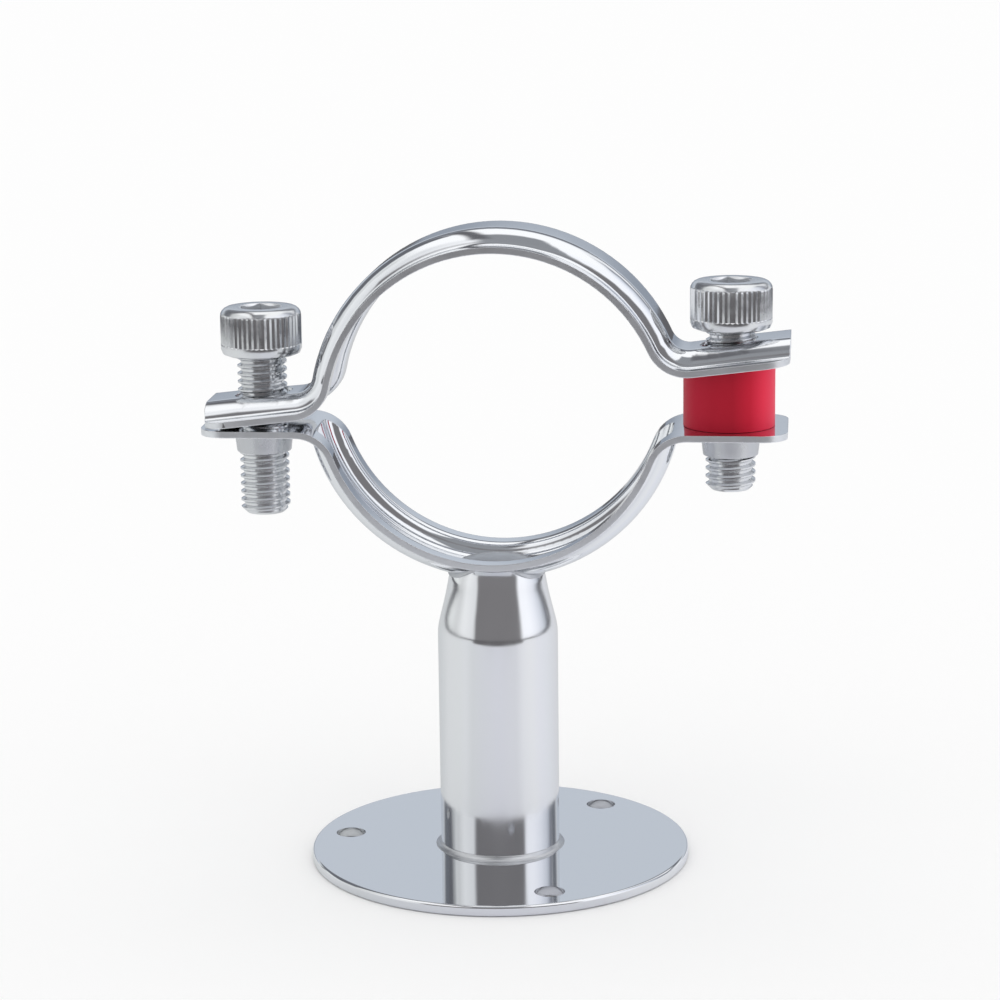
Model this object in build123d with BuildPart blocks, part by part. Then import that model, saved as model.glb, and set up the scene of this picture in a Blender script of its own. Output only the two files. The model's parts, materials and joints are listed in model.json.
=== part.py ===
# Pipe clamp on a round base plate with a short tubular post.
# Millimetres. Origin: centre of the base plate's underside, +Z up,
# +X towards the screw with the sleeve, Y along the clamped pipe.
import os
from math import asin, cos, degrees, radians, sin, sqrt, tan

from build123d import *

# base plate
plate_radius = 30.0
plate_thickness = 1.5
plate_edge_round = 0.45
plate_hole_radius = 2.35
plate_hole_inset = 5.25
plate_hole_count = 3
plate_hole_start = -66.4

# post
post_radius = 9.45
post_wall = 1.4
neck_fall = 1.95
neck_length = 9.55
base_weld_leg = 0.8
base_weld_hollow = 1.0
neck_weld_leg = 0.35
neck_weld_height = 0.65

# clamp ring
ring_height = 75.1
pipe_radius = 25.85
band_width = 18.6
sheet = 1.0
bend_radius = 6.4
lower_ear_length = 15.2
upper_ear_length = 14.45
upper_tip_shift = 0.475
upper_tip_trim = 1.5
ear_corner = 4.0

# pressed bead
bead_rise = 2.4
bead_half_width = 6.4
bead_draft = 20.0
bead_crest_inside = 1.9
bead_foot_inside = 0.5
ear_bead_rise = 2.6
ear_bead_run = 9.0

# clamp ears and screw holes
screw_inset = 8.8
lower_ear_gap = 5.3
upper_ear_gap = 3.6
upper_tilt = 6.7
upper_shift = 0.75
rest_gap = 0.05
upper_hole_play = 0.65

# tapped collars under the lower ears
collar_root_wall = 0.75
collar_end_wall = 0.35
collar_depth = 3.6
collar_flare = 0.8
collar_end_round = 0.15
collar_entry = 0.45
collar_overlap = 0.2
screw_play = 0.05

# plug in the bottom of the clamp
plug_inset = 2.4
plug_sink = 1.35
plug_bevel = 0.2

# screws
shank_radius = 3.85
screw_length = 25.0
head_radius = 6.3
head_height = 7.5
head_edge_round = 1.4
head_foot_bevel = 1.0
tip_bevel = 0.9
hex_width = 6.0
hex_depth = 4.5
hex_turn = 12.0
left_head_lift = 5.95
right_head_lift = 1.8

# sleeve between the right-hand ears
sleeve_radius = 7.05
sleeve_play = 0.45
sleeve_shift = 0.25


# where the bend between ring and ear is centred, for ears at this distance from the pipe's centre
def bend_centre(gap):
    height = gap + bend_radius
    return sqrt((pipe_radius + bend_radius) ** 2 - height**2), height


# values that follow from the sizes above
half_width = band_width / 2
bead_height = sheet + bead_rise
bead_radius = pipe_radius + bead_height
bead_crest_outside = bead_crest_inside + sheet
bead_foot_outside = bead_foot_inside + sheet
draft_cos = cos(radians(bead_draft))
draft_tan = tan(radians(bead_draft))
groove_half_width = bead_half_width - sheet / draft_cos + sheet * draft_tan
plate_hole_circle = plate_radius - plate_hole_inset
neck_radius = post_radius - neck_fall
neck_joint_height = ring_height - bead_radius
shoulder_height = neck_joint_height - neck_length
neck_top_height = ring_height - pipe_radius - sheet - rest_gap
neck_arc_radius = (neck_length**2 + neck_fall**2) / (2 * neck_fall)
neck_arc_end = degrees(asin((neck_top_height - shoulder_height) / neck_arc_radius))
neck_arc_centre = (post_radius - neck_arc_radius, shoulder_height)
plug_radius = neck_radius - plug_inset
lower_bend = bend_centre(lower_ear_gap)
lower_lean = degrees(asin(lower_bend[1] / (pipe_radius + bend_radius)))
lower_reach = lower_bend[0] + lower_ear_length
lower_ear_top = ring_height - lower_ear_gap
upper_bend = bend_centre(upper_ear_gap)
upper_lean = degrees(asin(upper_bend[1] / (pipe_radius + bend_radius)))
upper_reach = upper_bend[0] + upper_ear_length
screw_offset = lower_reach - screw_inset
collar_bore = shank_radius + screw_play
collar_root_radius = collar_bore + collar_root_wall
collar_end_radius = collar_bore + collar_end_wall
tilt_cos = cos(radians(upper_tilt))
tilt_sin = sin(radians(upper_tilt))
left_tip_along = (upper_reach + upper_shift - upper_tip_shift - upper_ear_gap * tilt_sin) / tilt_cos
upper_drop = left_tip_along * tilt_sin - upper_ear_gap * tilt_cos - lower_ear_gap + rest_gap
upper_ear_height = upper_ear_gap + sheet + ear_bead_rise
spare = 10.0
lower_beyond = lower_reach + spare
above_ring = bead_radius + spare
size_match = 0.001
pipe_axis = Axis((0, 0, ring_height), (0, 1, 0))
front_plane = Plane(origin=(0, 0, ring_height), x_dir=(1, 0, 0), z_dir=(0, -1, 0))
down_plane = Plane(origin=(0, 0, ring_height), x_dir=(0, 0, -1), z_dir=(1, 0, 0))
upper_plane = Plane(
    origin=(upper_shift, 0, ring_height + upper_drop),
    x_dir=(tilt_cos, 0, tilt_sin),
    z_dir=(-tilt_sin, 0, tilt_cos),
)


# direction along the tilted upper band and away from its middle
def tilt_vector(along, away):
    return upper_plane.x_dir * along + upper_plane.z_dir * away


lean_cos = cos(radians(upper_lean))
lean_sin = sin(radians(upper_lean))
upper_ring_axis = Axis(upper_plane.origin, -Vector(upper_plane.y_dir))
upper_bend_axis = Axis(
    upper_plane.from_local_coords((upper_bend[0], 0, upper_bend[1])), -Vector(upper_plane.y_dir)
)
ring_end_plane = Plane(
    origin=upper_plane.from_local_coords((pipe_radius * lean_cos, 0, pipe_radius * lean_sin)),
    x_dir=tilt_vector(lean_cos, lean_sin),
    z_dir=tilt_vector(lean_sin, -lean_cos),
)
ear_start_plane = Plane(
    origin=upper_plane.from_local_coords((upper_bend[0], 0, upper_ear_gap)),
    x_dir=tilt_vector(0, 1),
    z_dir=tilt_vector(1, 0),
)


# ear, bend, ring, bend and ear in one line, this far outside the lower band's pipe side
def band_line(away, reach):
    bend_x, bend_z = lower_bend
    ear_z = -lower_ear_gap - away
    Line((-reach, ear_z), (-bend_x, ear_z))
    CenterArc((-bend_x, -bend_z), bend_radius - away, 90, lower_lean - 90)
    CenterArc((0, 0), pipe_radius + away, 180 + lower_lean, 180 - 2 * lower_lean)
    CenterArc((bend_x, -bend_z), bend_radius - away, 180 - lower_lean, lower_lean - 90)
    Line((bend_x, ear_z), (reach, ear_z))


# half of the pressed section, from the rim inwards: depth, distance from the middle, corner radius
def outer_steps(rise):
    return [
        (0, half_width, 0),
        (0, bead_half_width, bead_foot_inside),
        (rise, bead_half_width - rise * draft_tan, bead_crest_outside),
    ]


def inner_steps(rise):
    return [
        (0, half_width, 0),
        (0, groove_half_width, bead_foot_outside),
        (rise, groove_half_width - rise * draft_tan, bead_crest_inside),
    ]


# both halves of such steps, moved out by this depth
def both_halves(steps, depth):
    right = [(depth + x, y, r) for x, y, r in steps]
    return right + [(x, -y, r) for x, y, r in reversed(right)]


# closed outline through corners given as x, y and rounding
def outline(corners):
    FilletPolyline(*[(x, y) for x, y, _ in corners], radius=[r for _, _, r in corners], close=True)


# section of a wheel round the pipe's centre, with these steps on its rim
def wheel_corners(steps, depth):
    base = pipe_radius - spare
    return [(base, half_width, 0)] + both_halves(steps, depth) + [(base, -half_width, 0)]


# the pressed sheet's whole section
def sheet_corners(rise):
    return both_halves(outer_steps(rise), sheet) + both_halves(inner_steps(rise), 0)[::-1]


# wheels as big as the ring's outer surface, the weld under it and the ring's pipe side
outer_wheel = wheel_corners(outer_steps(bead_rise), pipe_radius + sheet)
weld_wheel = wheel_corners(outer_steps(bead_rise), pipe_radius + sheet + neck_weld_height)
inner_wheel = wheel_corners(inner_steps(bead_rise), pipe_radius)


# height of the upper ears' top surface above the base plate's underside
def upper_ear_top(x):
    along = (x - upper_shift + upper_ear_height * tilt_sin) / tilt_cos
    return ring_height + upper_drop + along * tilt_sin + upper_ear_height * tilt_cos


os.makedirs("parts", exist_ok=True)

# round base plate
with BuildPart() as base_plate:
    Cylinder(plate_radius, plate_thickness, align=(Align.CENTER, Align.CENTER, Align.MIN))
    fillet(base_plate.edges().group_by(Axis.Z)[-1], plate_edge_round)
    with BuildSketch():
        with PolarLocations(plate_hole_circle, plate_hole_count, start_angle=plate_hole_start):
            Circle(plate_hole_radius)
    extrude(amount=plate_thickness, mode=Mode.SUBTRACT)
base_plate.part.label = "base_plate"
export_step(base_plate.part, "parts/base_plate.step")

# lower clamp band: flat ears, a bead pressed into the ring that runs out in the bends
with BuildPart() as lower_band:
    with BuildSketch(front_plane):
        with BuildLine():
            band_line(0, lower_reach)
            band_line(sheet, lower_reach)
            for side in (-lower_reach, lower_reach):
                Line((side, -lower_ear_gap), (side, -lower_ear_gap - sheet))
        make_face()
    extrude(amount=half_width, both=True)
    with BuildSketch(down_plane):
        with BuildLine():
            outline(outer_wheel)
        make_face()
    revolve(axis=pipe_axis)
    with BuildSketch(front_plane):
        with BuildLine():
            band_line(0, lower_beyond)
            Polyline((-lower_beyond, -lower_ear_gap), (-lower_beyond, above_ring),
                     (lower_beyond, above_ring), (lower_beyond, -lower_ear_gap))
        make_face()
    extrude(amount=band_width, both=True, mode=Mode.SUBTRACT)
    with BuildSketch(down_plane):
        with BuildLine():
            outline(inner_wheel)
        make_face()
    revolve(axis=pipe_axis, mode=Mode.SUBTRACT)
    with BuildSketch(Plane.XY.offset(ring_height)):
        RectangleRounded(2 * lower_reach, band_width, ear_corner)
    extrude(amount=-above_ring, mode=Mode.INTERSECT)
    for side in (-screw_offset, screw_offset):
        with BuildSketch(Plane(origin=(side, 0, lower_ear_top), x_dir=(1, 0, 0), z_dir=(0, -1, 0))):
            with BuildLine():
                outline([
                    (collar_bore, -sheet / 2, 0),
                    (collar_root_radius + collar_flare + collar_overlap, -sheet / 2, 0),
                    (collar_root_radius + collar_flare + collar_overlap, -sheet, 0),
                    (collar_root_radius, -sheet, collar_flare),
                    (collar_end_radius, -sheet - collar_depth, collar_end_round),
                    (collar_bore, -sheet - collar_depth, 0),
                ])
            make_face()
        revolve(axis=Axis((side, 0, 0), (0, 0, 1)))
    with BuildSketch(Plane.XY.offset(lower_ear_top)):
        with Locations((-screw_offset, 0), (screw_offset, 0)):
            Circle(collar_bore)
    extrude(amount=-sheet - collar_depth, mode=Mode.SUBTRACT)
    fillet(
        lower_band.edges().filter_by(GeomType.CIRCLE).filter_by(
            lambda e: abs(e.radius - collar_bore) < size_match
            and abs(e.center().Z - lower_ear_top) < size_match
        ),
        collar_entry,
    )
    with BuildSketch(Plane.XY.offset(ring_height - bead_radius)):
        Circle(plug_radius)
    extrude(amount=bead_height, mode=Mode.SUBTRACT)
lower_band.part.label = "lower_band"
export_step(lower_band.part, "parts/lower_band.step")

# upper clamp band: a bead through ring, bend and ear, rising on the ear; the other half is a mirror image
with BuildPart() as upper_band:
    with BuildSketch(ring_end_plane):
        with BuildLine():
            outline(sheet_corners(bead_rise))
        make_face()
    revolve(axis=upper_ring_axis, revolution_arc=90 - upper_lean)
    with BuildSketch(ring_end_plane):
        with BuildLine():
            outline(sheet_corners(bead_rise))
        make_face()
    revolve(axis=upper_bend_axis, revolution_arc=90 - upper_lean)
    with BuildSketch(ear_start_plane):
        with BuildLine():
            outline(sheet_corners(bead_rise))
        make_face()
    with BuildSketch(ear_start_plane.offset(ear_bead_run)):
        with BuildLine():
            outline(sheet_corners(ear_bead_rise))
        make_face()
    loft()
    with BuildSketch(ear_start_plane.offset(ear_bead_run)):
        with BuildLine():
            outline(sheet_corners(ear_bead_rise))
        make_face()
    extrude(amount=upper_ear_length + upper_tip_trim - ear_bead_run)
    mirror(about=Plane(origin=upper_plane.origin, z_dir=upper_plane.x_dir))
    with BuildSketch(Plane.XY.offset(lower_ear_top)):
        with Locations((upper_tip_shift, 0)):
            RectangleRounded(2 * upper_reach, band_width, ear_corner)
    extrude(amount=lower_ear_gap + above_ring, mode=Mode.INTERSECT)
    with BuildSketch(upper_plane):
        with Locations((-screw_offset, 0), (screw_offset, 0)):
            Circle(shank_radius + upper_hole_play)
    extrude(amount=upper_ear_height + sheet, mode=Mode.SUBTRACT)
upper_band.part.label = "upper_band"
export_step(upper_band.part, "parts/upper_band.step")

# necked tube, its upper end shaped to the clamp's underside
with BuildPart() as post_tube:
    with BuildSketch(Plane.XZ):
        with BuildLine():
            outer_arc = CenterArc(neck_arc_centre, neck_arc_radius, 0, neck_arc_end)
            inner_arc = CenterArc(neck_arc_centre, neck_arc_radius - post_wall, 0, neck_arc_end)
            Line(outer_arc @ 1, inner_arc @ 1)
            Polyline(inner_arc @ 0, (post_radius - post_wall, plate_thickness),
                     (post_radius, plate_thickness), outer_arc @ 0)
        make_face()
    revolve(axis=Axis.Z)
    with BuildSketch(down_plane):
        with BuildLine():
            outline(outer_wheel)
        make_face()
    revolve(axis=pipe_axis, mode=Mode.SUBTRACT)
post_tube.part.label = "post_tube"
export_step(post_tube.part, "parts/post_tube.step")

# weld round the foot of the post
with BuildPart() as base_weld:
    with BuildSketch(Plane.XZ):
        with BuildLine():
            foot = Polyline((post_radius, plate_thickness + base_weld_leg), (post_radius, plate_thickness),
                            (post_radius + base_weld_leg, plate_thickness))
            RadiusArc(foot @ 1, foot @ 0, base_weld_hollow)
        make_face()
    revolve(axis=Axis.Z)
base_weld.part.label = "base_weld"
export_step(base_weld.part, "parts/base_weld.step")

# weld along the saddle between neck and clamp
with BuildPart() as neck_weld:
    with BuildSketch(Plane.XZ):
        with BuildLine():
            weld_face = CenterArc(neck_arc_centre, neck_arc_radius + neck_weld_leg, 0, neck_arc_end)
            weld_root = CenterArc(neck_arc_centre, neck_arc_radius - post_wall / 2, 0, neck_arc_end)
            Line(weld_face @ 0, weld_root @ 0)
            Line(weld_face @ 1, weld_root @ 1)
        make_face()
    revolve(axis=Axis.Z)
    with BuildSketch(down_plane):
        with BuildLine():
            outline(weld_wheel)
        make_face()
    revolve(axis=pipe_axis, mode=Mode.INTERSECT)
    with BuildSketch(down_plane):
        with BuildLine():
            outline(outer_wheel)
        make_face()
    revolve(axis=pipe_axis, mode=Mode.SUBTRACT)
    add(post_tube.part, mode=Mode.SUBTRACT)
neck_weld.part.label = "neck_weld"
export_step(neck_weld.part, "parts/neck_weld.step")

# plug that joins the neck to the clamp through its bottom
with BuildPart() as plug_weld:
    with BuildSketch(Plane.XY.offset(ring_height - pipe_radius - plug_sink)):
        Circle(plug_radius)
    extrude(amount=-bead_height)
    with BuildSketch(down_plane):
        with BuildLine():
            outline(outer_wheel)
        make_face()
    revolve(axis=pipe_axis, mode=Mode.INTERSECT)
    chamfer(plug_weld.edges().group_by(Axis.Z)[-1], plug_bevel)
plug_weld.part.label = "plug_weld"
export_step(plug_weld.part, "parts/plug_weld.step")

# socket-head screws
for name, side, lift in (("left_screw", -screw_offset, left_head_lift),
                         ("right_screw", screw_offset, right_head_lift)):
    head_start = upper_ear_top(side) + lift
    with BuildPart() as screw:
        with BuildSketch(Plane(origin=(side, 0, head_start), x_dir=(1, 0, 0), z_dir=(0, -1, 0))):
            with BuildLine():
                Polyline((0, -screw_length), (shank_radius - tip_bevel, -screw_length),
                         (shank_radius, tip_bevel - screw_length), (shank_radius, 0),
                         (head_radius - head_foot_bevel, 0), (head_radius, head_foot_bevel),
                         (head_radius, head_height - head_edge_round))
                CenterArc((head_radius - head_edge_round, head_height - head_edge_round),
                          head_edge_round, 0, 90)
                Polyline((head_radius - head_edge_round, head_height), (0, head_height), (0, -screw_length))
            make_face()
        revolve(axis=Axis((side, 0, 0), (0, 0, 1)))
        with BuildSketch(Plane.XY.offset(head_start + head_height)):
            with Locations((side, 0)):
                RegularPolygon(hex_width / 2, 6, major_radius=False, rotation=hex_turn)
        extrude(amount=-hex_depth, mode=Mode.SUBTRACT)
    screw.part.label = name
    export_step(screw.part, f"parts/{name}.step")

# plastic sleeve, its upper end cut along the upper ear
with BuildPart() as spacer_sleeve:
    with BuildSketch(Plane.XY.offset(lower_ear_top + rest_gap)):
        with Locations((screw_offset - sleeve_shift, 0)):
            Circle(sleeve_radius)
            Circle(shank_radius + sleeve_play, mode=Mode.SUBTRACT)
    extrude(amount=upper_ear_top(screw_offset + sleeve_radius) - lower_ear_top)
    split(bisect_by=upper_plane.offset(upper_ear_gap - rest_gap), keep=Keep.BOTTOM)
spacer_sleeve.part.label = "spacer_sleeve"
export_step(spacer_sleeve.part, "parts/spacer_sleeve.step")
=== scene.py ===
import json
import math
import bpy
from mathutils import Matrix, Vector

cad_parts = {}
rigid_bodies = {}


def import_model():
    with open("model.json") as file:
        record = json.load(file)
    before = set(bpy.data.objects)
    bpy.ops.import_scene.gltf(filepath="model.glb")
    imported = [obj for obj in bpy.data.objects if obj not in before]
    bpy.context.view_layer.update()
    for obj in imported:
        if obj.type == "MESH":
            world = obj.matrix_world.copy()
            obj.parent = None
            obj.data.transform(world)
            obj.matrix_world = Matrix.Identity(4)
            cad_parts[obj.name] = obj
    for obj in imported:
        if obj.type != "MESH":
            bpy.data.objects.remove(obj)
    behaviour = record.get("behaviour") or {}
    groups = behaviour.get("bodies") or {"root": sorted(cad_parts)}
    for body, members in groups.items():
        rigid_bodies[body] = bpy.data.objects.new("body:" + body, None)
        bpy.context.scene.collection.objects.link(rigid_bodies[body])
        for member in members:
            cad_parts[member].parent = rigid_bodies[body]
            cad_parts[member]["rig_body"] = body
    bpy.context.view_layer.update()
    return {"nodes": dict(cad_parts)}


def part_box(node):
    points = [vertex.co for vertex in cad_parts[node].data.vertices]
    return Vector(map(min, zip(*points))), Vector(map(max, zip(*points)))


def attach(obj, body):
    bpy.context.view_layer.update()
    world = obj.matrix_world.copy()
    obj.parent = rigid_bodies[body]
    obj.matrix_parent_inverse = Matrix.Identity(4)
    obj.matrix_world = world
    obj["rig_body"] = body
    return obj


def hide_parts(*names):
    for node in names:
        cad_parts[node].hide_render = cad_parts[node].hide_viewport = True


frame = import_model()
scene = bpy.context.scene
scene.view_settings.view_transform = "Standard"
mm = 0.001
print("frame loaded")

# how near things are when they count as one place
gap = {"pick": 0.01 * mm, "stack": 0.01 * mm, "thread": 0.005 * mm, "sliver": 0.002 * mm,
       "merge": 0.001 * mm, "cut": 0.0001 * mm}

# edges that turn by more than this stay sharp, in degrees
sharp = {"sheet": 28, "screw": 24, "bead": 40}

# small helpers for picking and editing


def only(piece):
    if bpy.context.object and bpy.context.object.mode != "OBJECT":
        bpy.ops.object.mode_set(mode="OBJECT")
    bpy.ops.object.select_all(action="DESELECT")
    piece.select_set(True)
    bpy.context.view_layer.objects.active = piece


def editing(piece, mode):
    only(piece)
    bpy.ops.object.mode_set(mode="EDIT")
    bpy.ops.mesh.select_mode(type=mode)
    bpy.ops.mesh.select_all(action="DESELECT")
    bpy.ops.object.mode_set(mode="OBJECT")


def pickEdges(piece, test):
    editing(piece, "EDGE")
    points = piece.data.vertices
    for edge in piece.data.edges:
        edge.select = test(points[edge.vertices[0]].co, points[edge.vertices[1]].co)
    bpy.ops.object.mode_set(mode="EDIT")


def pickRing(piece, height):
    pickEdges(piece, lambda a, b: abs(a.z - height) + abs(b.z - height) < gap["pick"])


def pickPoints(piece, test):
    editing(piece, "VERT")
    for point in piece.data.vertices:
        point.select = test(point.co)
    bpy.ops.object.mode_set(mode="EDIT")


def bevelPicked(size, steps):
    bpy.ops.mesh.bevel(offset=size * mm, segments=steps, affect="EDGES", clamp_overlap=False)


def settle(piece):
    only(piece)
    bpy.ops.object.transform_apply(location=True, rotation=True, scale=True)


def applyAll(piece):
    only(piece)
    for modifier in list(piece.modifiers):
        bpy.ops.object.modifier_apply(modifier=modifier.name)


def carve(piece, tool, operation):
    cut = piece.modifiers.new("cut", "BOOLEAN")
    cut.operation = operation
    cut.solver = "EXACT"
    cut.object = tool
    applyAll(piece)
    bpy.data.objects.remove(tool)


def closeUp(piece):
    # no slivers left along a cut
    only(piece)
    bpy.ops.object.mode_set(mode="EDIT")
    bpy.ops.mesh.select_all(action="SELECT")
    bpy.ops.mesh.remove_doubles(threshold=gap["sliver"])
    bpy.ops.mesh.quads_convert_to_tris(quad_method="BEAUTY", ngon_method="BEAUTY")
    bpy.ops.mesh.dissolve_degenerate(threshold=gap["sliver"])
    bpy.ops.object.mode_set(mode="OBJECT")


def smooth(piece, angle):
    only(piece)
    bpy.ops.object.shade_smooth_by_angle(angle=math.radians(angle))


def level(piece):
    # flat faces keep one even reflection beside a rounded edge
    weigh = piece.modifiers.new("weigh", "WEIGHTED_NORMAL")
    weigh.keep_sharp = True
    applyAll(piece)


def startPoint(place):
    # a mesh of one point, left in edit mode with the point selected
    bpy.ops.mesh.primitive_plane_add(size=mm, location=place)
    piece = bpy.context.object
    bpy.ops.object.mode_set(mode="EDIT")
    bpy.ops.mesh.select_all(action="SELECT")
    bpy.ops.mesh.merge(type="CENTER")
    return piece


def turned(points, middle, axis, sides):
    # a closed line through the points, spun once round the axis
    piece = startPoint((0, 0, 0))
    bpy.ops.transform.translate(value=points[0] * mm)
    for start, end in zip(points, points[1:] + points[:1]):
        bpy.ops.mesh.extrude_region_move(TRANSFORM_OT_translate={"value": (end - start) * mm})
    bpy.ops.mesh.select_all(action="SELECT")
    bpy.ops.mesh.remove_doubles(threshold=gap["merge"])
    bpy.ops.mesh.spin(steps=sides, angle=math.tau, center=middle * mm, axis=axis)
    bpy.ops.mesh.select_all(action="SELECT")
    bpy.ops.mesh.remove_doubles(threshold=gap["merge"])
    bpy.ops.mesh.normals_make_consistent(inside=False)
    bpy.ops.object.mode_set(mode="OBJECT")
    return piece


# camera, in degrees, with millimetres for the distance, the place looked at and the lens
shot = {
    "azimuth": 6.14, "elevation": 12.49, "roll": -0.70,
    "distance": 465.7, "target": (0.59, 0, 57.5),
    "lens": 107.4, "sensor": 36, "clip": 0.01,  # clip in metres
}


def addCamera():
    turn, lift, roll = (math.radians(shot[k]) for k in ("azimuth", "elevation", "roll"))
    back = Vector((math.sin(turn) * math.cos(lift), -math.cos(turn) * math.cos(lift),
                   math.sin(lift)))
    side = Vector((math.cos(turn), math.sin(turn), 0))
    up = back.cross(side)
    camSide = side * math.cos(roll) + up * math.sin(roll)
    camUp = up * math.cos(roll) - side * math.sin(roll)
    bpy.ops.object.camera_add()
    camera = bpy.context.object
    camera.data.lens = shot["lens"]
    camera.data.sensor_width = shot["sensor"]
    camera.data.clip_start = shot["clip"]
    place = (Vector(shot["target"]) + back * shot["distance"]) * mm
    facing = Matrix((camSide, camUp, back)).transposed().to_4x4()
    camera.matrix_world = Matrix.Translation(place) @ facing
    scene.camera = camera


addCamera()
print("camera placed")

# studio: white all round, with dark and grey walls that only polished metal shows
studio = {
    "light": 1.25,
    # each zone: angle over the top from the front horizon (0) to the back one (180),
    # share to the side, and how soft both limits are
    "zones": (
        {"arc": (-20, 38), "side": (-0.72, 0.72), "soft": (9, 0.10), "tint": (0.18, 0.175, 0.18)},
        {"arc": (34, 80), "side": (-0.26, 0.20), "soft": (10, 0.07), "tint": (0.26, 0.27, 0.285)},
        {"arc": (50, 148), "side": (-0.30, -0.19), "soft": (12, 0.06), "tint": (0.13, 0.13, 0.14)},
        {"arc": (112, 152), "side": (-0.92, -0.30), "soft": (9, 0.10), "tint": (0.13, 0.135, 0.15)},
        {"arc": (131, 156), "side": (-0.34, 0.42), "soft": (8, 0.14), "tint": (0.20, 0.21, 0.235)},
        {"arc": (146, 156), "side": (-0.95, 0.95), "soft": (6, 0.08), "tint": (0.15, 0.16, 0.18)},
        {"arc": (157, 200), "side": (-0.62, 0.62), "soft": (5, 0.16), "tint": (0.49, 0.53, 0.585)},
        {"arc": (171, 200), "side": (-0.62, 0.62), "soft": (14, 0.16), "tint": (0.25, 0.28, 0.33)},
    ),
    # walls, and the sheet painted into the floor's colour for reflections, by the turn from
    # straight ahead, in degrees, left to right
    "walls": ((-180, (0.80, 0.81, 0.82)), (-140, (0.76, 0.78, 0.78)), (-134, (0.16, 0.17, 0.17)),
              (-127, (0.76, 0.78, 0.78)), (-108, (0.76, 0.78, 0.77)), (-90, (0.63, 0.64, 0.64)),
              (-74, (0.82, 0.83, 0.83)), (-50, (0.72, 0.73, 0.74)), (-14, (0.98, 0.98, 0.99)),
              (40, (0.96, 0.97, 1)), (68, (0.95, 0.96, 1)), (86, (0.82, 0.84, 0.90)),
              (102, (0.62, 0.65, 0.71)), (117, (0.17, 0.18, 0.21)), (128, (0.84, 0.85, 0.87)),
              (180, (0.80, 0.81, 0.82))),
    "sheet": ((-180, (0.62, 0.63, 0.64)), (-140, (0.72, 0.74, 0.75)), (-108, (0.85, 0.865, 0.87)),
              (-80, (0.865, 0.885, 0.885)), (-63, (0.87, 0.885, 0.90)), (-50, (0.80, 0.82, 0.835)),
              (-30, (0.80, 0.815, 0.85)), (0, (0.81, 0.82, 0.875)), (32, (0.83, 0.84, 0.88)),
              (46, (0.93, 0.94, 0.97)), (63, (0.97, 0.98, 1)), (82, (0.94, 0.95, 1)),
              (105, (0.90, 0.92, 0.96)), (140, (0.80, 0.81, 0.84)), (180, (0.62, 0.63, 0.64))),
    "wallTop": (0.70, 0.86),
    # floor, in metres, with a painted reflection: the dark that the metal sees far round it is
    # painted into the floor's colour for reflections only
    "floorSize": 12, "floorDrop": 0.0002, "floorTint": (0.985, 0.985, 0.985),
    "rimStart": (0.62, 0.78), "paintedRimTint": (0.13, 0.13, 0.14),
    # front edge of the painted white sheet, from the post, as the metal sees it
    "sheetEdge": 0.195, "edgeSoft": 0.03, "sheetTurn": 48, "turnSoft": 8,
    "paintedBeyondTint": (0.14, 0.135, 0.14),
}


def mathNode(nodes, links, operation, *values):
    node = nodes.new("ShaderNodeMath")
    node.operation = operation
    for socket, value in zip(node.inputs, values):
        if isinstance(value, (int, float)):
            socket.default_value = value
        else:
            links.new(value, socket)
    return node.outputs[0]


def ramp(nodes, links, value, start, end):
    node = nodes.new("ShaderNodeMapRange")
    node.interpolation_type = "SMOOTHSTEP"
    links.new(value, node.inputs["Value"])
    node.inputs["From Min"].default_value = start
    node.inputs["From Max"].default_value = end
    return node.outputs["Result"]


def between(nodes, links, value, limits, soft):
    low, high = limits
    rise = ramp(nodes, links, value, low - soft / 2, low + soft / 2)
    fall = ramp(nodes, links, value, high + soft / 2, high - soft / 2)
    return mathNode(nodes, links, "MULTIPLY", rise, fall)


def blendColour(nodes, links, factor, first, second):
    node = nodes.new("ShaderNodeMix")
    node.data_type = "RGBA"
    links.new(factor, node.inputs[0])
    # inputs 6 and 7 and output 2 are the mix node's colour sockets
    for socket, colour in ((node.inputs[6], first), (node.inputs[7], second)):
        if isinstance(colour, tuple):
            socket.default_value = (*colour, 1)
        else:
            links.new(colour, socket)
    return node.outputs[2]


def studioAxes(nodes, links, output):
    # side, ahead and up of the room, which is turned once to the camera's azimuth
    coords = nodes.new("ShaderNodeTexCoord")
    mapping = nodes.new("ShaderNodeMapping")
    mapping.inputs["Rotation"].default_value = (0, 0, -math.radians(shot["azimuth"]))
    split = nodes.new("ShaderNodeSeparateXYZ")
    links.new(coords.outputs[output], mapping.inputs["Vector"])
    links.new(mapping.outputs["Vector"], split.inputs["Vector"])
    side, away, up = split.outputs
    return side, mathNode(nodes, links, "MULTIPLY", away, -1.0), up


def colourBands(nodes, links, value, stops):
    bands = nodes.new("ShaderNodeValToRGB")
    links.new(value, bands.inputs["Fac"])
    marks = bands.color_ramp.elements
    marks.remove(marks[1])
    for place, tint in stops:
        mark = marks[0] if place == stops[0][0] else marks.new(place)
        mark.position = place
        mark.color = (*tint, 1)
    return bands.outputs["Color"]


def aroundColour(nodes, links, side, ahead, stops):
    # the ramp runs from 0 to 1 over one whole turn
    turn = mathNode(nodes, links, "ARCTAN2", side, ahead)
    turn = mathNode(nodes, links, "DIVIDE", turn, math.tau)
    turn = mathNode(nodes, links, "ADD", turn, 0.5)
    return colourBands(nodes, links, turn, [(angle / 360 + 0.5, tint) for angle, tint in stops])


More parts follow.
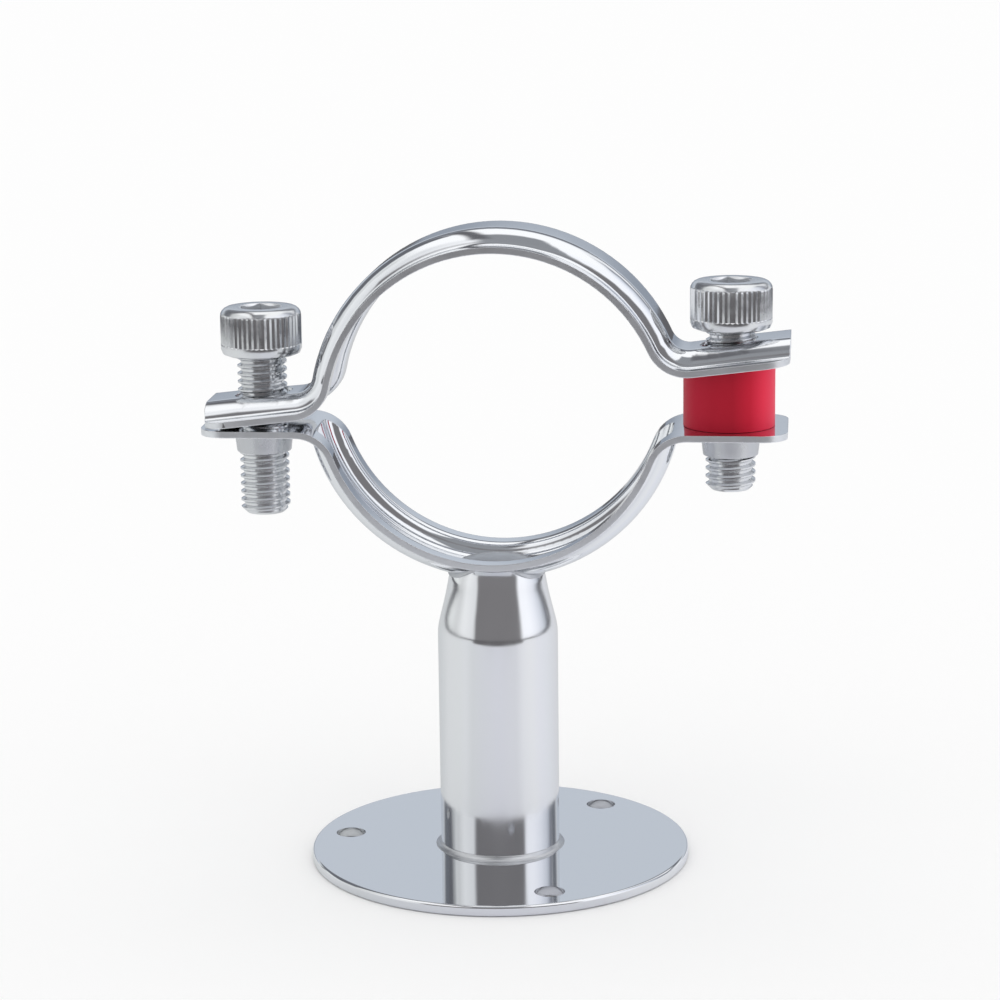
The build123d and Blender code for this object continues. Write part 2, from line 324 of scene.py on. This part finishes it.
def addStudio():
    world = bpy.data.worlds.new("studio")
    scene.world = world
    world.use_nodes = True
    nodes, links = world.node_tree.nodes, world.node_tree.links
    side, ahead, up = studioAxes(nodes, links, "Generated")
    # the arc wraps straight down, so that it counts on past the back horizon
    arc = mathNode(nodes, links, "DEGREES", mathNode(nodes, links, "ARCTAN2", up, ahead))
    arc = mathNode(nodes, links, "WRAP", arc, 270.0, -90.0)
    colour = blendColour(nodes, links, ramp(nodes, links, up, *studio["wallTop"]),
                         aroundColour(nodes, links, side, ahead, studio["walls"]), (1, 1, 1))
    for zone in studio["zones"]:
        arcSoft, sideSoft = zone["soft"]
        mask = mathNode(nodes, links, "MULTIPLY",
                        between(nodes, links, arc, zone["arc"], arcSoft),
                        between(nodes, links, side, zone["side"], sideSoft))
        colour = blendColour(nodes, links, mask, colour, zone["tint"])
    light = nodes.new("ShaderNodeBackground")
    links.new(colour, light.inputs["Color"])
    light.inputs["Strength"].default_value = studio["light"]
    plain = nodes["Background"]
    plain.inputs["Color"].default_value = (1, 1, 1, 1)
    plain.inputs["Strength"].default_value = 1
    rays = nodes.new("ShaderNodeLightPath")
    shown = nodes.new("ShaderNodeMixShader")
    links.new(rays.outputs["Is Glossy Ray"], shown.inputs[0])
    links.new(plain.outputs[0], shown.inputs[1])
    links.new(light.outputs[0], shown.inputs[2])
    links.new(shown.outputs[0], nodes["World Output"].inputs["Surface"])


def addFloor():
    bpy.ops.mesh.primitive_plane_add(size=studio["floorSize"],
                                     location=(0, 0, -studio["floorDrop"]))
    floor = bpy.context.object
    floor.name = "studio_floor"
    paint = bpy.data.materials.new("floorPaint")
    paint.use_nodes = True
    nodes, links = paint.node_tree.nodes, paint.node_tree.links
    shader = nodes["Principled BSDF"]
    shader.inputs["Roughness"].default_value = 1
    shader.inputs["Specular IOR Level"].default_value = 0
    side, ahead = studioAxes(nodes, links, "Object")[:2]

    # painted reflection: the floor as the metal sees it, a white sheet with a dark rim far out
    apart = mathNode(nodes, links, "ADD",
                     mathNode(nodes, links, "MULTIPLY", side, side),
                     mathNode(nodes, links, "MULTIPLY", ahead, ahead))
    apart = mathNode(nodes, links, "SQRT", apart)
    paintedReflection = blendColour(nodes, links, ramp(nodes, links, apart, *studio["rimStart"]),
                           aroundColour(nodes, links, side, ahead, studio["sheet"]),
                           studio["paintedRimTint"])

    # painted reflection: dark in front of the sheet's edge, straight ahead of the clamp
    soft = studio["edgeSoft"] / 2
    beyond = ramp(nodes, links, ahead, studio["sheetEdge"] - soft, studio["sheetEdge"] + soft)
    turn = mathNode(nodes, links, "DEGREES", mathNode(nodes, links, "ARCTAN2", side, ahead))
    soft = studio["turnSoft"] / 2
    inside = ramp(nodes, links, mathNode(nodes, links, "ABSOLUTE", turn),
                  studio["sheetTurn"] + soft, studio["sheetTurn"] - soft)
    paintedReflection = blendColour(nodes, links, mathNode(nodes, links, "MULTIPLY", beyond, inside),
                           paintedReflection, studio["paintedBeyondTint"])

    # the camera sees the even pale floor, while reflections see the painted colours
    rays = nodes.new("ShaderNodeLightPath")
    shown = blendColour(nodes, links, rays.outputs["Is Glossy Ray"], studio["floorTint"], paintedReflection)
    links.new(shown, shader.inputs["Base Color"])
    floor.data.materials.append(paint)


addStudio()
addFloor()
print("studio set")

# finishes: roughness from and to, spread and wave size as noise scales, the noise's scale
# up the height, and the worn edge in millimetres
finish = {
    "mirrorSteel": {"tint": (0.77, 0.785, 0.81), "rough": (0.045, 0.10), "spread": 120,
                    "wave": 0.03, "waveSize": 160, "stretch": 1, "round": 0.22},
    "plateSteel": {"tint": (0.78, 0.79, 0.81), "rough": (0.03, 0.06), "spread": 90,
                   "wave": 0.002, "waveSize": 60, "stretch": 1, "round": 0},
    "tubeSteel": {"tint": (0.78, 0.79, 0.81), "rough": (0.09, 0.17), "spread": 220,
                  "wave": 0.05, "waveSize": 420, "stretch": 0.12, "round": 0},
    "cutSteel": {"tint": (0.82, 0.835, 0.86), "rough": (0.34, 0.40), "spread": 300,
                 "wave": 0.01, "waveSize": 900, "stretch": 1, "round": 0.18},
    "drawnSteel": {"tint": (0.57, 0.58, 0.60), "rough": (0.22, 0.36), "spread": 500,
                   "wave": 0.03, "waveSize": 700, "stretch": 0.3, "round": 0.1},
    "screwSteel": {"tint": (0.72, 0.73, 0.745), "rough": (0.15, 0.24), "spread": 600,
                   "wave": 0.02, "waveSize": 900, "stretch": 1, "round": 0.05},
    "weldSteel": {"tint": (0.60, 0.61, 0.63), "rough": (0.30, 0.45), "spread": 1100,
                  "wave": 0.05, "waveSize": 1200, "stretch": 1, "round": 0.1},
}

# what all the steels share, with the wave's height in metres
grain = {"detail": 4, "span": (0.35, 0.65), "waveDetail": 2, "waveHeight": 0.0005,
         "roundSamples": 8}


def steel(name):
    look = finish[name]
    material = bpy.data.materials.new(name)
    material.use_nodes = True
    nodes, links = material.node_tree.nodes, material.node_tree.links
    shader = nodes["Principled BSDF"]
    shader.inputs["Base Color"].default_value = (*look["tint"], 1)
    shader.inputs["Metallic"].default_value = 1
    coords = nodes.new("ShaderNodeTexCoord")
    mapping = nodes.new("ShaderNodeMapping")
    mapping.inputs["Scale"].default_value = (1, 1, look["stretch"])
    links.new(coords.outputs["Object"], mapping.inputs["Vector"])

    patches = nodes.new("ShaderNodeTexNoise")
    patches.inputs["Scale"].default_value = look["spread"]
    patches.inputs["Detail"].default_value = grain["detail"]
    links.new(mapping.outputs["Vector"], patches.inputs["Vector"])
    rough = nodes.new("ShaderNodeMapRange")
    links.new(patches.outputs["Fac"], rough.inputs["Value"])
    fromMin, fromMax = rough.inputs["From Min"], rough.inputs["From Max"]
    fromMin.default_value, fromMax.default_value = grain["span"]
    rough.inputs["To Min"].default_value, rough.inputs["To Max"].default_value = look["rough"]
    links.new(rough.outputs["Result"], shader.inputs["Roughness"])

    swell = nodes.new("ShaderNodeTexNoise")
    swell.inputs["Scale"].default_value = look["waveSize"]
    swell.inputs["Detail"].default_value = grain["waveDetail"]
    links.new(mapping.outputs["Vector"], swell.inputs["Vector"])
    bump = nodes.new("ShaderNodeBump")
    bump.inputs["Strength"].default_value = look["wave"]
    bump.inputs["Distance"].default_value = grain["waveHeight"]
    links.new(swell.outputs["Fac"], bump.inputs["Height"])
    if look["round"]:
        # worn edges, in the shading only
        worn = nodes.new("ShaderNodeBevel")
        worn.samples = grain["roundSamples"]
        worn.inputs["Radius"].default_value = look["round"] * mm
        links.new(worn.outputs["Normal"], bump.inputs["Normal"])
    links.new(bump.outputs["Normal"], shader.inputs["Normal"])
    return material


mirrorSteel = steel("mirrorSteel")
plateSteel = steel("plateSteel")
tubeSteel = steel("tubeSteel")
cutSteel = steel("cutSteel")
drawnSteel = steel("drawnSteel")
screwSteel = steel("screwSteel")
weldSteel = steel("weldSteel")

sleeveLook = {
    # tint across the sleeve, from its left side to its right side: painted light and shade, darkest
    # in the middle and brightest on the right, as if lit from the right
    "paintedLightTints": ((0, (0.50, 0.010, 0.036)), (0.32, (0.38, 0.003, 0.020)),
              (0.55, (0.37, 0.002, 0.018)), (0.74, (0.54, 0.006, 0.030)),
              (0.88, (0.78, 0.022, 0.065)), (1, (0.84, 0.040, 0.095))),
    "rough": 0.46, "gloss": 0.20,
}


def redPlastic():
    material = bpy.data.materials.new("redPlastic")
    material.use_nodes = True
    nodes, links = material.node_tree.nodes, material.node_tree.links
    shader = nodes["Principled BSDF"]
    low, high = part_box("spacer_sleeve")
    coords = nodes.new("ShaderNodeTexCoord")
    split = nodes.new("ShaderNodeSeparateXYZ")
    links.new(coords.outputs["Object"], split.inputs["Vector"])
    across = nodes.new("ShaderNodeMapRange")
    links.new(split.outputs["X"], across.inputs["Value"])
    across.inputs["From Min"].default_value = low.x
    across.inputs["From Max"].default_value = high.x
    # painted light: the red darkens in the middle and grows lighter towards the right side
    tint = colourBands(nodes, links, across.outputs["Result"], sleeveLook["paintedLightTints"])
    links.new(tint, shader.inputs["Base Color"])
    shader.inputs["Roughness"].default_value = sleeveLook["rough"]
    shader.inputs["Specular IOR Level"].default_value = sleeveLook["gloss"]
    return material


print("finishes mixed")

# bands, sleeve and welds: merged copies of the solids, shaded smooth


def skin(nodeName, material):
    node = frame["nodes"][nodeName]
    piece = bpy.data.objects.new(nodeName + "_skin", node.data.copy())
    scene.collection.objects.link(piece)
    piece.data.materials.clear()
    piece.data.materials.append(material)
    only(piece)
    if piece.data.has_custom_normals:
        bpy.ops.mesh.customdata_custom_splitnormals_clear()
    bpy.ops.object.mode_set(mode="EDIT")
    bpy.ops.mesh.select_all(action="SELECT")
    bpy.ops.mesh.remove_doubles(threshold=gap["merge"])
    smooth(piece, sharp["sheet"])
    level(piece)
    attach(piece, node["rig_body"])
    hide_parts(nodeName)
    return piece


ear = {
    # the screws' distance from the middle, the collars' reach round them and their top
    "screwPlace": 36.45, "collarReach": 5.2, "collarTop": 68.2,
    # the rounded ends start here, and their cut faces lean less than this
    "endStart": 41.0, "endLean": 0.25,
}


def fromScrew(place):
    return math.hypot(abs(place.x) - ear["screwPlace"] * mm, place.y)


def cutEdges(piece, halfWidth):
    # satin on the cut edges, along both sides and round the ends of the ears
    piece.data.materials.append(cutSteel)
    for face in piece.data.polygons:
        onSide = abs(abs(face.center.y) - halfWidth) < gap["pick"]
        onEnd = abs(face.center.x) > ear["endStart"] * mm and abs(face.normal.z) < ear["endLean"]
        if onSide or (onEnd and fromScrew(face.center) > ear["collarReach"] * mm):
            face.material_index = 1


def drawnCollars(piece):
    # the collars pulled down out of the ears are duller than the flat sheet
    piece.data.materials.append(drawnSteel)
    for face in piece.data.polygons:
        below = face.center.z < ear["collarTop"] * mm
        if below and fromScrew(face.center) < ear["collarReach"] * mm:
            face.material_index = 2


skin("base_weld", weldSteel)
skin("neck_weld", weldSteel)
skin("spacer_sleeve", redPlastic())
for bandName in ("lower_band", "upper_band"):
    band = skin(bandName, mirrorSteel)
    low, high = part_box(bandName)
    cutEdges(band, high.y)
    if bandName == "lower_band":
        drawnCollars(band)
print("bands, sleeve and welds dressed")

# post: necked tube, with a saddle for the clamp
post = {
    # height and radius up the outside
    "outside": ((1.5, 9.45), (12, 9.45), (24, 9.45), (34, 9.45), (36.1, 9.45), (36.8, 9.43),
                (37.5, 9.34), (38.2, 9.20), (38.9, 9.04), (39.7, 8.84), (40.6, 8.61),
                (41.5, 8.39), (42.4, 8.18), (43.3, 7.99), (44.2, 7.81), (45.1, 7.65),
                (46.0, 7.46), (46.7, 7.20), (47.4, 6.93), (48.1, 6.59)),
    "wall": 1.4, "sides": 144,
    # the clamp's outside, which cuts the saddle: radius from the pipe's axis and
    # distance from the middle
    "saddle": ((16, 9.3), (26.85, 9.3), (26.85, 6.4), (29.25, 5.526), (29.25, -5.526),
               (26.85, -6.4), (26.85, -9.3), (16, -9.3)),
    "ringHeight": 75.1, "saddleSides": 192,
    # which of these corners are rounded, on both sides: number, size and steps
    "rounds": ((3, 2.03, 8), (2, 0.35, 3)),
}


def onCircle(place, radius, away):
    reach = math.hypot(place.x, place.z - post["ringHeight"] * mm)
    return (abs(reach - radius * mm) < gap["pick"]
            and abs(abs(place.y) - away * mm) < gap["pick"])


def makePost():
    node = frame["nodes"]["post_tube"]
    outside = [Vector((radius, 0, height)) for height, radius in post["outside"]]
    inside = [Vector((radius - post["wall"], 0, height))
              for height, radius in reversed(post["outside"])]
    tube = turned(outside + inside, Vector((0, 0, 0)), (0, 0, 1), post["sides"])

    middle = Vector((0, 0, post["ringHeight"]))
    corners = [Vector((0, away, post["ringHeight"] - radius)) for radius, away in post["saddle"]]
    wheel = turned(corners, middle, (0, 1, 0), post["saddleSides"])
    for corner, size, steps in post["rounds"]:
        radius, away = post["saddle"][corner]
        pickEdges(wheel, lambda a, b: (onCircle(a, radius, away) and onCircle(b, radius, away)
                                       and a.y * b.y > 0))
        bevelPicked(size, steps)
        bpy.ops.object.mode_set(mode="OBJECT")
    carve(tube, wheel, "DIFFERENCE")
    tube.name = "post_necked"
    tube.data.materials.clear()
    tube.data.materials.append(tubeSteel)
    smooth(tube, sharp["sheet"])
    level(tube)
    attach(tube, node["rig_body"])
    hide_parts("post_tube")


makePost()
print("post made")

# plate: turned disc with drilled holes
plate = {"sides": 192, "edgeRound": 0.45, "edgeSteps": 5,
         "holes": 3, "holeRadius": 2.35, "holeCircle": 24.75, "holeStart": -66.4, "holeSides": 48}


def makePlate():
    low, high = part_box("base_plate")
    thick = high.z - low.z
    bpy.ops.mesh.primitive_cylinder_add(vertices=plate["sides"], radius=high.y, depth=thick,
                                        location=(0, 0, thick / 2))
    disc = bpy.context.object
    settle(disc)
    pickRing(disc, high.z)
    bevelPicked(plate["edgeRound"], plate["edgeSteps"])
    bpy.ops.object.mode_set(mode="OBJECT")
    for hole in range(plate["holes"]):
        turn = math.radians(plate["holeStart"] + 360 / plate["holes"] * hole)
        reach = plate["holeCircle"] * mm
        bpy.ops.mesh.primitive_cylinder_add(
            vertices=plate["holeSides"], radius=plate["holeRadius"] * mm, depth=4 * thick,
            location=(reach * math.cos(turn), reach * math.sin(turn), 0))
        drill = bpy.context.object
        settle(drill)
        carve(disc, drill, "DIFFERENCE")
    disc.name = "plate_turned"
    disc.data.materials.append(plateSteel)
    smooth(disc, sharp["sheet"])
    level(disc)
    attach(disc, frame["nodes"]["base_plate"]["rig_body"])
    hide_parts("base_plate")


makePlate()
print("plate made")

# plug: domed bead in the bottom of the clamp
plug = {"long": 6.4, "wide": 5.9, "rise": 1.35, "middle": 47.25, "foot": 46.1,
        "sides": 64, "rings": 32}


def makePlug():
    bpy.ops.mesh.primitive_uv_sphere_add(segments=plug["sides"], ring_count=plug["rings"],
                                         radius=mm, location=(0, 0, 0))
    bead = bpy.context.object
    bpy.ops.object.mode_set(mode="EDIT")
    bpy.ops.mesh.select_all(action="SELECT")
    bpy.ops.transform.resize(value=(plug["long"], plug["wide"], plug["rise"]),
                             center_override=(0, 0, 0))
    bpy.ops.transform.translate(value=(0, 0, plug["middle"] * mm))
    bpy.ops.mesh.bisect(plane_co=(0, 0, plug["foot"] * mm), plane_no=(0, 0, 1), use_fill=True,
                        clear_inner=True, threshold=gap["cut"])
    bpy.ops.object.mode_set(mode="OBJECT")
    bead.name = "plug_bead"
    bead.data.materials.append(weldSteel)
    smooth(bead, sharp["bead"])
    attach(bead, frame["nodes"]["plug_weld"]["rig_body"])
    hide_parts("plug_weld")


makePlug()
print("plug made")

# screws: knurled head with a hexagon socket, and a wound thread
screw = {
    "headHeight": 7.5, "topRound": 1.4, "topSteps": 5, "footBevel": 1.0, "footSteps": 2,
    "teeth": 48, "knurlDepth": 0.155, "knurlTop": 1.1, "knurlFoot": 1.75, "knurlRamp": 0.18,
    "hexWidth": 6.0, "hexDepth": 4.5, "hexTurn": 12, "hexBevel": 0.35,
    "shankRadius": 3.85, "blankPlay": 0.001, "tipBevel": 0.9,
    "pitch": 1.25, "threadDepth": 0.55, "crest": 0.25, "flankAngle": 30, "steps": 72,
    # the thread's reach into the head, and the turns to spare, below the shank and in all
    "threadInHead": 0.4, "turnsBelow": 2, "spareTurns": 3,
}


def threadSolid(x, low, high):
    # one pitch of the profile, repeated up the shank, then wound round the axis
    pitch, depth = screw["pitch"] * mm, screw["threadDepth"] * mm
    crest = screw["crest"] * mm
    flank = depth * math.tan(math.radians(screw["flankAngle"]))
    root = pitch - crest - 2 * flank
    thread = startPoint((x, 0, low - pitch * screw["turnsBelow"]))
    bpy.ops.transform.translate(value=(screw["shankRadius"] * mm, 0, 0))
    for step in ((0, 0, crest), (-depth, 0, flank), (0, 0, root), (depth, 0, flank)):
        bpy.ops.mesh.extrude_region_move(TRANSFORM_OT_translate={"value": step})
    bpy.ops.object.mode_set(mode="OBJECT")
    stack = thread.modifiers.new("stack", "ARRAY")
    stack.count = math.ceil((high - low) / pitch) + screw["spareTurns"]
    stack.use_relative_offset = False
    stack.use_constant_offset = True
    stack.constant_offset_displace = (0, 0, pitch)
    stack.use_merge_vertices = True
    stack.merge_threshold = gap["stack"]
    wind = thread.modifiers.new("wind", "SCREW")
    wind.axis = "Z"
    wind.angle = math.tau
    wind.screw_offset = pitch
    wind.steps = wind.render_steps = screw["steps"]
    wind.use_merge_vertices = False
    applyAll(thread)
    bpy.ops.object.mode_set(mode="EDIT")
    bpy.ops.mesh.select_all(action="SELECT")
    bpy.ops.mesh.remove_doubles(threshold=gap["thread"])
    for end, inner in ((low, True), (high, False)):
        bpy.ops.mesh.select_all(action="SELECT")
        bpy.ops.mesh.bisect(plane_co=(x, 0, end), plane_no=(0, 0, 1), use_fill=True,
                            clear_inner=inner, clear_outer=not inner, threshold=gap["cut"])
    bpy.ops.mesh.select_all(action="SELECT")
    bpy.ops.mesh.normals_make_consistent(inside=False)
    settle(thread)
    return thread


def makeScrew(nodeName):
    low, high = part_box(nodeName)
    x = (low.x + high.x) / 2
    radius = (high.x - low.x) / 2
    height = screw["headHeight"] * mm
    foot = high.z - height
    sides = screw["teeth"] * 2

    # head: turned blank, rounded above and bevelled below
    bpy.ops.mesh.primitive_cylinder_add(vertices=sides, radius=radius, depth=height,
                                        location=(x, 0, foot + height / 2))
    head = bpy.context.object
    settle(head)
    pickRing(head, high.z)
    bevelPicked(screw["topRound"], screw["topSteps"])
    pickRing(head, foot)
    bevelPicked(screw["footBevel"], screw["footSteps"])

    # knurl: every second column of the side pushed in between two rings
    bandTop, bandFoot = high.z - screw["knurlTop"] * mm, foot + screw["knurlFoot"] * mm
    sloped = screw["knurlRamp"] * mm
    for ring in (bandTop + sloped, bandTop, bandFoot, bandFoot - sloped):
        bpy.ops.mesh.select_all(action="SELECT")
        bpy.ops.mesh.bisect(plane_co=(x, 0, ring), plane_no=(0, 0, 1), threshold=gap["cut"])

    def inGroove(point):
        column = round(math.atan2(point.y, point.x - x) / math.tau * sides)
        onSide = bandFoot - gap["pick"] < point.z < bandTop + gap["pick"]
        return onSide and column % 2 == 1

    pickPoints(head, inGroove)
    shrink = 1 - screw["knurlDepth"] * mm / radius
    bpy.ops.transform.resize(value=(shrink, shrink, 1), center_override=(x, 0, 0))
    bpy.ops.object.mode_set(mode="OBJECT")

    # hexagon socket, and a cone at 45 degrees for its bevelled mouth. The middles of both
    # are at the head's top, so only their lower halves cut
    apothem = screw["hexWidth"] * mm / 2
    hexRadius = apothem / math.cos(math.pi / 6)
    bpy.ops.mesh.primitive_cylinder_add(
        vertices=6, radius=hexRadius, depth=2 * screw["hexDepth"] * mm,
        location=(x, 0, high.z), rotation=(0, 0, math.radians(screw["hexTurn"])))
    socket = bpy.context.object
    settle(socket)
    carve(head, socket, "DIFFERENCE")
    lip = screw["hexBevel"] * mm
    bpy.ops.mesh.primitive_cone_add(vertices=sides, radius1=apothem - lip,
                                    radius2=apothem + 3 * lip, depth=4 * lip,
                                    location=(x, 0, high.z))
    mouth = bpy.context.object
    settle(mouth)
    carve(head, mouth, "DIFFERENCE")
    head.data.materials.clear()
    for material in (screwSteel, cutSteel):
        head.data.materials.append(material)
    for face in head.data.polygons:
        inside = math.hypot(face.center.x - x, face.center.y) < hexRadius + lip
        below = foot < face.center.z < high.z - gap["pick"]
        face.material_index = 1 if inside and below else 0

    # thread, cut to a blank with a bevelled tip
    threadTop = foot + screw["threadInHead"] * mm
    thread = threadSolid(x, low.z, threadTop)
    thread.data.materials.append(screwSteel)
    length = threadTop - low.z
    blankRadius = (screw["shankRadius"] + screw["blankPlay"]) * mm
    bpy.ops.mesh.primitive_cylinder_add(vertices=screw["steps"], radius=blankRadius,
                                        depth=length, location=(x, 0, low.z + length / 2))
    blank = bpy.context.object
    settle(blank)
    pickRing(blank, low.z)
    bevelPicked(screw["tipBevel"], 1)
    bpy.ops.object.mode_set(mode="OBJECT")
    carve(thread, blank, "INTERSECT")
    carve(head, thread, "UNION")
    closeUp(head)

    head.name = nodeName + "_threaded"
    smooth(head, sharp["screw"])
    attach(head, nodeName)
    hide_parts(nodeName)
    print(nodeName, "made,", len(head.data.polygons), "faces")


for nodeName in ("left_screw", "right_screw"):
    makeScrew(nodeName)
